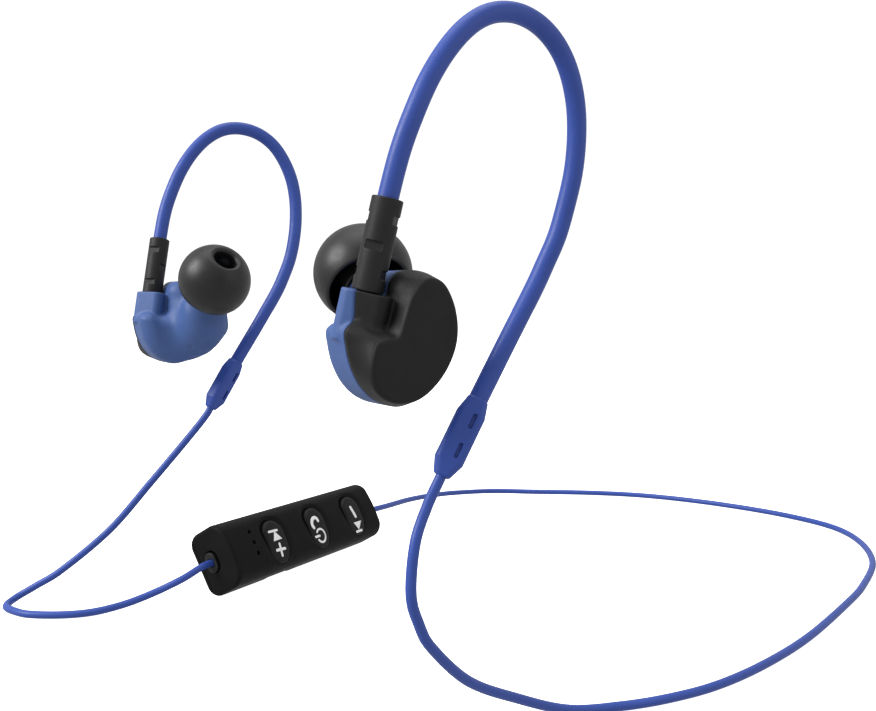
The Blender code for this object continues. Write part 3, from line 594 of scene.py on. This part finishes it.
def joiner_field(points):
    local = local_to(points, JOINER_TOP, JOINER_FRAME)
    level = local[..., 2]
    stations = np.array(JOINER_STATIONS)
    half_x = np.interp(level, stations[:, 0], stations[:, 1])
    half_y = np.interp(level, stations[:, 0], stations[:, 2])
    x, y = np.abs(local[..., 0]) - half_x, np.abs(local[..., 1]) - half_y
    section = rounded((x, y), JOINER_CORNER)
    body = smooth_max(section, np.maximum(-level, level - stations[-1, 0]), 0.35)
    for slot_level in JOINER_SLOT_LEVELS:
        slot = obround_distance(local[..., 0] + JOINER_SLOT_SHIFT, level - slot_level, *JOINER_SLOT_HALF)
        pocket = smooth_max(slot, JOINER_SLOT_FLOOR - np.abs(local[..., 1]), 0.06)
        body = smooth_max(body, -pocket, 0.06)
    return body


joiner_corners = np.stack((JOINER_TOP, JOINER_BOTTOM))
joiner_bounds = (joiner_corners.min(0) - JOINER_MARGIN, joiner_corners.max(0) + JOINER_MARGIN)
points, faces = surface(joiner_field, *joiner_bounds, STEPS["joiner"])
both_sides("cord_joiner", points, faces, BLUE_RUBBER, "blue_rubber", ROOT)


# ---------------------------------------------------------------- earpieces

outline = Outline(BODY_OUTLINE)
face_outline = Outline(FACE_OUTLINE)
TIP_FRAME = axes_from(TIP_AXIS, (1.0, 0.0, 0.0))


def boss_field(points):
    """The collar under the sleeve: a post with rounded flats, one of them facing outward."""
    local = local_to(points, BOSS_TOP, STEM_FRAME)
    x, y = np.abs(local[..., 0]), np.abs(local[..., 1] - BOSS_SHIFT)
    flats = rounded((x - BOSS_HALF[0], y - BOSS_HALF[1]), BOSS_CORNER)
    return rounded((flats, local[..., 2], -BOSS_LENGTH - local[..., 2]), BOSS_EDGE)


def neck_bore_field(points):
    return rod(local_to(points, STEM_BASE, STEM_FRAME), NECK_RADIUS + 0.1, -4.0, 2.0, 0.05)


def round_barrel():
    """The barrel's radius along its axis, with the corners of its profile rounded off."""
    rows = np.array(BARREL)
    levels = np.linspace(rows[0, 0], rows[-1, 0], 300)
    radii = np.interp(levels, rows[:, 0], rows[:, 1])
    for _ in range(3):
        padded = np.pad(radii, 8, mode="edge")
        radii = np.convolve(padded, np.ones(17) / 17.0, mode="valid")
    return levels, radii


BARREL_LINE = round_barrel()


def outer_field(points):
    depth = PARTING_Y - points[..., 1]
    share = np.clip((depth - FACE_STRAIGHT) / FACE_RUN, 0.0, 1.0)
    x, z = points[..., 0], points[..., 2]
    body = outline(x, z) * (1.0 - share) + face_outline(x, z) * share
    body = smooth_max(body * FLANK_FACTOR, depth - FACE_DEPTH, FACE_EDGE)
    body = smooth_min(body, boss_field(points), BOSS_FILLETS["outer"])
    body = smooth_max(body, -neck_bore_field(points), 0.05)
    return smooth_max(body, SEAM / 2 - depth, 0.12)


def inner_field(points):
    depth = points[..., 1] - PARTING_Y
    body = rounded((outline(points[..., 0], points[..., 2]), depth - INNER_DEPTH), INNER_ROUNDING)
    body = smooth_min(body, boss_field(points), BOSS_FILLETS["inner"])
    local = local_to(points, TIP_CENTRE, TIP_FRAME)
    level = local[..., 2]
    lean = np.clip((LEAN_START - level) / LEAN_RUN, 0.0, 1.0)
    radial = np.hypot(local[..., 0] - BARREL_LEAN[0] * lean, local[..., 1] - BARREL_LEAN[1] * lean)
    barrel = (radial - np.interp(level, *BARREL_LINE)) * BARREL_FACTOR
    barrel = smooth_max(barrel, np.maximum(level - BARREL[-1][0], BARREL[0][0] - level), 0.5)
    body = smooth_min(body, barrel, BARREL_FILLET)
    body = smooth_min(body, rod(local, NOZZLE_RADIUS, NOZZLE_START, NOZZLE_END, 0.2), 0.3)
    body = smooth_max(body, -rod(local, NOZZLE_BORE, *NOZZLE_BORE_SPAN, 0.1), 0.1)
    body = smooth_max(body, -neck_bore_field(points), 0.05)
    vent = np.hypot(points[..., 0] - VENT[0], points[..., 2] - VENT[1]) - VENT_RADIUS
    body = smooth_max(body, -smooth_max(vent, VENT_FLOOR - depth, 0.05), 0.25)
    return smooth_max(body, SEAM / 2 - depth, 0.12)


OUTLINE = np.array(BODY_OUTLINE)
low_x, low_z = OUTLINE.min(0) - SHELL_MARGIN
high_x, high_z = OUTLINE.max(0) + SHELL_MARGIN
outer_low = (low_x, PARTING_Y - FACE_DEPTH - MARGIN, low_z)
points, faces = surface(outer_field, outer_low, (high_x, PARTING_Y + SEAM_MARGIN, high_z), STEPS["outer"])
both_sides("outer_shell", points, faces, BLACK_PLASTIC, "black_plastic", "earpiece")
nozzle_mouth = np.array(TIP_CENTRE) + TIP_AXIS * NOZZLE_END
inner_high = (high_x + SHELL_MARGIN, *(nozzle_mouth[1:] + NOZZLE_MARGIN))
points, faces = surface(inner_field, (low_x, PARTING_Y - SEAM_MARGIN, low_z), inner_high, STEPS["inner"])
both_sides("inner_shell", points, faces, BLUE_PLASTIC, "blue_plastic", "earpiece")


def arc(centre, radius, start, stop, count):
    angles = np.linspace(start, stop, count)
    return [(centre[0] + radius * math.sin(a), centre[1] + radius * math.cos(a)) for a in angles]


def tip_profile():
    """Down the outer skin from the mouth to the rim, up the inner skin, then down and up the stem."""
    start = math.asin((SOUND_BORE + 1.4 * TIP_LIP) / TIP_RADIUS)
    stop = math.pi - math.asin(TIP_RIM_RADIUS / TIP_RADIUS)
    outer = arc((0.0, 0.0), TIP_RADIUS, start, stop, 44)
    rim = outer[-1]
    inner = arc((0.0, 0.0), TIP_RADIUS - TIP_WALL, math.asin((STEM_OUTER + 0.6) / TIP_RADIUS), stop, 30)
    rim_middle = ((rim[0] + inner[-1][0]) / 2, (rim[1] + inner[-1][1]) / 2)
    bead = [(rim_middle[0] + 0.02, rim_middle[1] - 0.24)]
    mouth = [(SOUND_BORE, outer[0][1] - TIP_LIP), (SOUND_BORE + 0.06, outer[0][1] - 0.3)]
    mouth += [(SOUND_BORE + 0.3, outer[0][1] + 0.02), (SOUND_BORE + 0.7, outer[0][1] + 0.08)]
    shoulder = NOZZLE_END + 0.15
    stem = [(STEM_OUTER + 0.15, 3.9), (STEM_OUTER, 3.4), (STEM_OUTER, -2.85), (STEM_OUTER - 0.15, -3.0)]
    stem += [(STEM_BORE + 0.1, -3.0), (STEM_BORE, -2.9), (STEM_BORE, shoulder), (SOUND_BORE, shoulder)]
    return mouth + outer + bead + list(reversed(inner)) + stem


points, faces = turned(tip_profile(), np.array(TIP_CENTRE), TIP_FRAME, 80)
both_sides("ear_tip", points, faces, SILICONE, "silicone", "tip")


# ---------------------------------------------------------------- remote

REMOTE_FRAME = axes_from(REMOTE_NORMAL, REMOTE_AXIS)
HALF_X, HALF_Y, HALF_Z = REMOTE_HALF


def remote_top(y):
    """How high the face stands above the remote's middle plane, across its width."""
    return HALF_Z + REMOTE_BULGE * (1.0 - (y / HALF_Y) ** 2)


def remote_solid(local):
    x, y, z = local[..., 0], local[..., 1], local[..., 2]
    flat = np.where(z > 0.0, z * HALF_Z / remote_top(np.clip(y, -HALF_Y, HALF_Y)), z)
    section = rounded((np.abs(y) - HALF_Y, np.abs(flat) - HALF_Z), REMOTE_CORNER)
    return smooth_max(section, np.abs(x) - HALF_X, 0.9)


def upper_share(y):
    """0 at a key's lower end, where it blends into the face, to 1 at its raised upper end."""
    share = np.clip((y - BUTTON_Y) / BUTTON_HALF[1] * 0.5 + 0.5, 0.0, 1.0)
    return share * share * (3.0 - 2.0 * share)


def grommet_share(z):
    """0 on a grommet's side toward the back cover, to 1 on its side toward the face."""
    return np.clip((z - CORD_OFFSET_Z) / GROMMET_HALF[1] * 0.5 + 0.5, 0.0, 1.0)


def front_case_field(local):
    x, y, z = local[..., 0], local[..., 1], local[..., 2]
    case = remote_solid(local)
    for _, centre in BUTTONS:
        gap = BUTTON_LOW_GAP + (BUTTON_GAP - BUTTON_LOW_GAP) * upper_share(y)
        hole = obround_distance(x - centre, y - BUTTON_Y, BUTTON_HALF[0], BUTTON_HALF[1]) - gap
        dish = DISH_DEPTHS[0] + DISH_DEPTHS[1] * upper_share(y)
        dish = dish * np.exp(-np.square(np.maximum(hole, 0.0) / DISH_REACH))
        lowered = (z - remote_top(y) + dish) * FACE_FACTOR
        case = np.maximum(case, np.where(hole < DISH_LIMIT, lowered, case))
        case = smooth_max(case, -np.maximum(hole, BUTTON_HOLE_FLOOR - z), 0.12)
    for centre_x, centre_y in MIC_HOLES:
        hole = np.hypot(x - centre_x, y - centre_y) - MIC_HOLE_RADIUS
        case = smooth_max(case, -np.maximum(hole, MIC_HOLE_FLOOR - z), 0.1)
    half_y, half_z = (half + margin for half, margin in zip(GROMMET_HALF, POCKET_MARGINS))
    pocket = obround_distance(z - CORD_OFFSET_Z - POCKET_SHIFT, y, half_z, half_y)
    pocket = np.maximum(pocket, HALF_X - POCKET_DEPTH - np.abs(x))
    case = smooth_max(case, -pocket, 0.08 + 0.4 * grommet_share(z))
    socket_x, socket_z, socket_long, socket_high = SOCKET
    mouth = rounded((np.abs(x - socket_x) - socket_long / 2, np.abs(z - socket_z) - socket_high / 2), 0.3)
    case = smooth_max(case, -np.maximum(mouth, y - SOCKET_FLOOR_Y), 0.1)
    return smooth_max(case, COVER_SPLIT_Z - z, 0.1)


def back_cover_field(local):
    return smooth_max(remote_solid(local), local[..., 2] - COVER_SPLIT_Z + SEAM, 0.1)


def remote_piece(name, field, low, high, step, finish, body, replaced):
    local, faces = surface(field, low, high, step)
    piece(name, local @ REMOTE_FRAME.T + REMOTE_CENTRE, faces, finish, body, replaced)


reach_x, reach_y = HALF_X + MARGIN, HALF_Y + MARGIN
remote_piece(
    "remote_front_skin", front_case_field, (-reach_x, -reach_y, COVER_SPLIT_Z - MARGIN),
    (reach_x, reach_y, HALF_Z + REMOTE_BULGE + MARGIN), STEPS["front"], REMOTE_PLASTIC, ROOT,
    ["remote_front_case"],
)
remote_piece(
    "remote_back_skin", back_cover_field, (-reach_x, -reach_y, -HALF_Z - MARGIN),
    (reach_x, reach_y, COVER_SPLIT_Z + MARGIN), STEPS["back"], REMOTE_PLASTIC, ROOT,
    ["remote_back_cover"],
)


def button_top(y):
    """The key stands proud at its upper end and sinks to the case's face at its lower end."""
    return remote_top(y) - BUTTON_SINK + BUTTON_PROUD * upper_share(y)


def crown_drop(x):
    return BUTTON_CROWN * (x / BUTTON_HALF[0]) ** 2


def button_field(centre):
    def field(local):
        x, y, z = local[..., 0] - centre, local[..., 1], local[..., 2]
        wall = obround_distance(x, y - BUTTON_Y, *BUTTON_HALF)
        top = z - button_top(y) + crown_drop(x)
        rounding = BUTTON_ROUNDING[0] + BUTTON_ROUNDING[1] * upper_share(y)
        return smooth_max(smooth_max(wall, top, rounding), BUTTON_FLOOR - z, 0.1)

    return field


reach_z = HALF_Z + REMOTE_BULGE + 2 * MARGIN
for key, centre in BUTTONS:
    remote_piece(
        f"key_skin_{key}", button_field(centre),
        (centre - BUTTON_HALF[0] - MARGIN, BUTTON_Y - BUTTON_HALF[1] - MARGIN, BUTTON_FLOOR - MARGIN),
        (centre + BUTTON_HALF[0] + MARGIN, BUTTON_Y + BUTTON_HALF[1] + MARGIN, reach_z),
        STEPS["key"], BUTTON_RUBBER, f"key_{key}", [f"button_{key}"],
    )


def grommet_field(end):
    def field(local):
        y, z = local[..., 1], local[..., 2] - CORD_OFFSET_Z
        plug = obround_distance(z, y, GROMMET_HALF[1], GROMMET_HALF[0])
        outward = end * local[..., 0]
        bore = np.hypot(y, z) - CORD_RADIUS - GROMMET_BORE_GAP
        edge = 0.08 + 0.3 * grommet_share(local[..., 2])
        block = smooth_max(plug, np.maximum(outward - HALF_X, HALF_X - GROMMET_LENGTH - outward), edge)
        return smooth_max(block, -np.maximum(bore, HALF_X - GROMMET_BORE_DEPTH - outward), 0.15)

    return field


for side, end in (("left", -1.0), ("right", 1.0)):
    depth = GROMMET_LENGTH + MARGIN
    low_end, high_end = sorted((end * (HALF_X + MARGIN), end * (HALF_X - depth)))
    half_y, half_z = (half + MARGIN for half in GROMMET_HALF)
    remote_piece(
        f"grommet_skin_{side}", grommet_field(end), (low_end, -half_y, CORD_OFFSET_Z - half_z),
        (high_end, half_y, CORD_OFFSET_Z + half_z), STEPS["grommet"], BLACK_RUBBER, ROOT,
        [f"cord_grommet_{side}"],
    )


# ---------------------------------------------------------------- printed icons, all generic

def ribbon(route, width):
    """Rows of two edge points along a line, drawn in round its ends."""
    route = np.array(route, float)
    reach = np.concatenate(([0.0], np.cumsum(np.linalg.norm(np.diff(route, axis=0), axis=1))))
    wanted = np.linspace(0.0, reach[-1], 26)
    line = np.stack([np.interp(wanted, reach, route[:, i]) for i in range(2)], 1)
    run = np.gradient(line, axis=0)
    run /= np.linalg.norm(run, axis=1)[:, None]
    half = np.full(len(line), width / 2)
    for turn in (30.0, 55.0, 75.0):
        out = width / 2 * math.sin(math.radians(turn))
        line = np.vstack((line[:1], line, line[-1:]))
        run = np.vstack((run[:1], run, run[-1:]))
        line[0] = route[0] - run[0] * out
        line[-1] = route[-1] + run[-1] * out
        narrow = width / 2 * math.cos(math.radians(turn))
        half = np.concatenate(([narrow], half, [narrow]))
    side = np.stack((-run[:, 1], run[:, 0]), 1) * half[:, None]
    return np.stack((line - side, line + side), 1)


def wedge(base_left, base_right, point):
    """Rows of two edge points from a triangle's base nearly to its point."""
    share = np.linspace(0.0, 0.94, 10)[:, None]
    ends = [np.array(base) * (1.0 - share) + np.array(point) * share for base in (base_left, base_right)]
    return np.stack(ends, 1)


def ring_arc(centre, radii, start, stop):
    angles = np.radians(np.linspace(start, stop, 26))
    return np.stack((centre[0] + radii[0] * np.sin(angles), centre[1] + radii[1] * np.cos(angles)), 1)


# Each shape in its key's own place: x along the remote from the key's middle, y across it
ICONS = {
    "previous": (
        ribbon(((-1.7, 1.3), (0.8, 1.2)), 0.5), wedge((-1.3, -0.85), (1.45, -0.8), (-0.15, 1.15)),
        ribbon(((-1.25, -2.75), (1.3, -2.9)), 0.6), ribbon(((0.05, -1.65), (-0.12, -4.1)), 0.6),
    ),
    "power": (
        ribbon(((0.5, 0.45), (0.4, 0.95), (-0.1, 1.3), (-0.8, 1.25), (-1.4, 0.8), (-1.75, 0.2),
                (-1.8, -0.35), (-1.6, -0.75)), 0.78),
        ribbon(ring_arc((-0.1, -2.85), (1.4, 1.45), -50.0, 240.0), 0.45),
        ribbon(((-2.0, -2.8), (-0.65, -2.8)), 0.5),
    ),
    "next": (
        ribbon(((-0.4, 1.0), (0.15, -1.3)), 0.8), wedge((-1.3, -2.55), (1.7, -2.6), (-0.15, -4.4)),
        ribbon(((-1.15, -4.7), (0.8, -4.7)), 0.55),
    ),
}
ICON_COLUMNS = 5
ICON_PROUD = 0.025
ICON_THICKNESS = 0.12


def icon_sheet(rows, centre, start):
    """A thin closed sheet on the key's top, from a shape's rows."""
    across = np.linspace(0.0, 1.0, ICON_COLUMNS)[:, None]
    flat = np.vstack([left * (1.0 - across) + right * across for left, right in rows])
    top = button_top(flat[:, 1]) - crown_drop(flat[:, 0]) + ICON_PROUD
    place = flat + (centre, 0.0)
    upper = np.column_stack((place, top))
    lower = np.column_stack((place, top - ICON_THICKNESS))
    count = len(flat)
    faces = []
    for row in range(len(rows) - 1):
        for column in range(ICON_COLUMNS - 1):
            a = row * ICON_COLUMNS + column
            quad = (a, a + 1, a + ICON_COLUMNS + 1, a + ICON_COLUMNS)
            faces.append(tuple(start + i for i in quad))
            faces.append(tuple(start + count + i for i in reversed(quad)))
    rim = list(range(ICON_COLUMNS))
    rim += [row * ICON_COLUMNS + ICON_COLUMNS - 1 for row in range(1, len(rows))]
    rim += [count - 1 - i for i in range(1, ICON_COLUMNS)]
    rim += [row * ICON_COLUMNS for row in range(len(rows) - 2, 0, -1)]
    for a, b in zip(rim, rim[1:] + rim[:1]):
        faces.append((start + b, start + a, start + count + a, start + count + b))
    return np.vstack((upper, lower)), faces


for key, centre in BUTTONS:
    sheets, icon_faces = [], []
    for rows in ICONS[key]:
        sheet, sheet_faces = icon_sheet(rows, centre, sum(len(made) for made in sheets))
        sheets.append(sheet)
        icon_faces += sheet_faces
    placed = np.vstack(sheets) @ REMOTE_FRAME.T + REMOTE_CENTRE
    piece(f"icon_{key}", placed, icon_faces, ICON_INK, f"key_{key}")


# ---------------------------------------------------------------- carried-over CAD nodes, mostly hidden

CARRIED = {
    "driver_frame_left": STEEL, "driver_frame_right": STEEL, "driver_magnet_left": STEEL,
    "driver_magnet_right": STEEL, "driver_diaphragm_left": FILM, "driver_diaphragm_right": FILM,
    "nozzle_mesh_left": STEEL, "nozzle_mesh_right": STEEL, "hook_wire_left": STEEL, "hook_wire_right": STEEL,
    "circuit_board": BOARD, "battery": CELL, "radio_chip": BLACK_PLASTIC, "antenna": CERAMIC,
    "microphone": STEEL, "charging_socket": STEEL, "key_switch_previous": STEEL, "key_switch_power": STEEL,
    "key_switch_next": STEEL,
}
for node, finish in CARRIED.items():
    mesh = frame["nodes"][node].data
    mesh.materials.clear()
    mesh.materials.append(finish)


# ---------------------------------------------------------------- floor and light

FLOOR_Z = CAD_BOX[0][2] - 0.00001
floor_mesh = bpy.data.meshes.new("floor")
reach = 4.0
floor_mesh.from_pydata(
    [(-reach, -reach, FLOOR_Z), (reach, -reach, FLOOR_Z), (reach, reach, FLOOR_Z), (-reach, reach, FLOOR_Z)],
    [], [(0, 1, 2, 3)],
)
floor = bpy.data.objects.new("floor", floor_mesh)
bpy.context.scene.collection.objects.link(floor)
floor_finish, _, floor_shader = nodes_of("floor_paper")
floor_shader.inputs["Base Color"].default_value = (0.8, 0.8, 0.8, 1.0)
floor_shader.inputs["Roughness"].default_value = 0.9
floor_shader.inputs["Specular IOR Level"].default_value = 0.1
floor_shader.inputs["Emission Color"].default_value = (1.0, 1.0, 1.0, 1.0)
floor_shader.inputs["Emission Strength"].default_value = 1.05
floor.data.materials.append(floor_finish)
floor.visible_diffuse = False
floor.visible_glossy = False

world = bpy.data.worlds.new("studio")
bpy.context.scene.world = world
world.use_nodes = True
world_tree = world.node_tree
sky = world_tree.nodes["Background"]
sky.inputs["Color"].default_value = (1.0, 1.0, 1.0, 1.0)
sky.inputs["Strength"].default_value = 0.68
backdrop = world_tree.nodes.new("ShaderNodeBackground")
backdrop.inputs["Color"].default_value = (1.0, 1.0, 1.0, 1.0)
backdrop.inputs["Strength"].default_value = 1.1
choose = world_tree.nodes.new("ShaderNodeMixShader")
seen = world_tree.nodes.new("ShaderNodeLightPath")
world_tree.links.new(seen.outputs["Is Camera Ray"], choose.inputs["Fac"])
world_tree.links.new(sky.outputs["Background"], choose.inputs[1])
world_tree.links.new(backdrop.outputs["Background"], choose.inputs[2])
world_tree.links.new(choose.outputs["Shader"], world_tree.nodes["World Output"].inputs["Surface"])


def softbox(name, at, aim, size, power):
    light = bpy.data.lights.new(name, "AREA")
    light.shape = "RECTANGLE"
    light.size, light.size_y = size
    light.energy = power
    made = bpy.data.objects.new(name, light)
    made.location = at
    made.rotation_euler = (Vector(aim) - Vector(at)).to_track_quat("-Z", "Y").to_euler()
    bpy.context.scene.collection.objects.link(made)


softbox("key_light", (-0.8, 0.15, 0.5), (0.0, 0.0, -0.05), (0.5, 0.5), 10.0)
softbox("top_light", (0.0, 0.1, 1.1), (0.0, 0.0, -0.05), (1.0, 1.0), 6.0)
softbox("fill_light", (0.55, -0.8, 0.25), (0.0, 0.0, -0.04), (0.7, 0.7), 0.8)

view = bpy.context.scene.view_settings
view.view_transform = "Standard"
